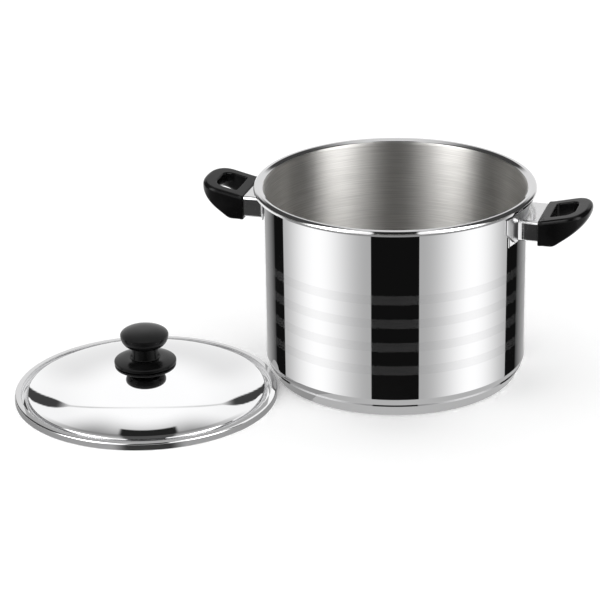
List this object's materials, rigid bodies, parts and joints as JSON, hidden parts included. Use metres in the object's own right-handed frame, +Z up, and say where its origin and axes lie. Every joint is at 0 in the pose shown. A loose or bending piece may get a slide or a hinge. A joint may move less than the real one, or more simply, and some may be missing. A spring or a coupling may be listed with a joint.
{
  "type": "stockpot",
  "caption": "Deep round stainless steel stockpot with a rolled lip, a sandwich base and loop side handles, and its domed lid with a knob laid down beside it.",
  "frame": {"origin": "middle of the flat underside of the base, on the floor", "axes": "+Z up along the axis of the pot, +X out through the right handle, the left handle out along -X"},
  "size_m": [0.5031, 0.3679, 0.1815],
  "materials": {
    "shell_steel": "mirror polished outside with satin bands, brushed inside",
    "polished_steel": "mirror polished stainless steel",
    "zinc_steel": "bright zinc plated",
    "core_aluminium": "plain rolled",
    "insert_brass": "turned and knurled",
    "bakelite": "satin moulded black"
  },
  "bodies": {
    "pot": {"pot_shell": "shell_steel", "base_core": "core_aluminium", "base_cap": "polished_steel", "right_saddle": "polished_steel", "right_flame_guard": "polished_steel", "right_stud_boss": "zinc_steel", "right_grip": "bakelite", "right_grip_screw": "zinc_steel", "right_spring_washer": "zinc_steel", "left_saddle": "polished_steel", "left_flame_guard": "polished_steel", "left_stud_boss": "zinc_steel", "left_grip": "bakelite", "left_grip_screw": "zinc_steel", "left_spring_washer": "zinc_steel"},
    "lid": {"lid_pan": "polished_steel", "knob_skirt": "bakelite", "knob_grip": "bakelite", "knob_insert": "insert_brass", "knob_screw": "zinc_steel", "knob_washer": "zinc_steel"}
  },
  "joints": [
    {"name": "lid_lift", "type": "slide", "parent": "pot", "child": "lid", "axis": [-0.3364, -0.1982, 0.9206], "range_m": [0, 0.3]}
  ]
}
